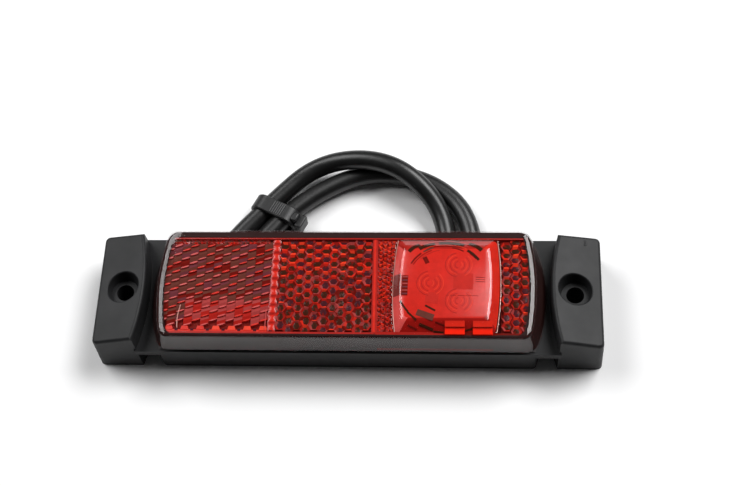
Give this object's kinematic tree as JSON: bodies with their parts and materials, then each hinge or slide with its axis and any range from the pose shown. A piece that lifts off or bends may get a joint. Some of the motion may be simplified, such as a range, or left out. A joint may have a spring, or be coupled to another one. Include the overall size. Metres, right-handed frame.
{
  "type": "trailer tail light",
  "caption": "Slim black trailer tail light with two screw lugs, a clear red reflex lens, a raised light window and a looped supply cable tied behind it.",
  "frame": {"origin": "centre of the mounting face, on the surface that the lamp is screwed to", "axes": "+X along the lamp towards the window end, +Y across it towards the side where the cable loops leave, +Z out of the lens"},
  "size_m": [0.13, 0.0603, 0.0192],
  "materials": {
    "black_plastic": "fine satin moulding",
    "clear_red": "clear red, polished",
    "weld_line": "satin",
    "red_plastic": "prismatic gloss",
    "pale_plastic": "satin",
    "bright_metal": "bright vacuum coating",
    "resin": "gloss",
    "board": "gloss solder mask",
    "chip_black": "matte",
    "capacitor_body": "satin",
    "solder": "bright tin",
    "core_brown": "satin",
    "core_black": "satin",
    "diode_clear": "clear",
    "cable_rubber": "satin",
    "tie_plastic": "satin"
  },
  "bodies": {
    "root": {"mounting_base": "black_plastic", "lens_cover": "clear_red", "lens_seal": "weld_line", "reflex_panel_wide_angle": "red_plastic", "reflex_panel_strip": "red_plastic", "reflex_panel_centre": "red_plastic", "reflex_panel_fine": "red_plastic", "reflex_panel_end": "red_plastic", "reflector_backing": "pale_plastic", "light_box": "red_plastic", "reflector_bowl": "bright_metal", "potting_resin": "resin", "circuit_board": "board", "driver_chip": "chip_black", "resistor_1": "chip_black", "resistor_2": "chip_black", "reverse_polarity_diode": "chip_black", "smoothing_capacitor": "capacitor_body", "solder_joint_positive": "solder", "solder_joint_negative": "solder", "conductor_positive": "core_brown", "conductor_negative": "core_black", "light_diode_1": "diode_clear", "light_diode_2": "diode_clear", "light_diode_3": "diode_clear", "cable_strain_relief": "cable_rubber", "supply_cable": "cable_rubber", "cable_core_positive": "core_brown", "cable_core_negative": "core_black", "tinned_tip_positive": "solder", "tinned_tip_negative": "solder", "cable_tie_band": "tie_plastic", "cable_tie_head": "tie_plastic"}
  },
  "joints": []
}
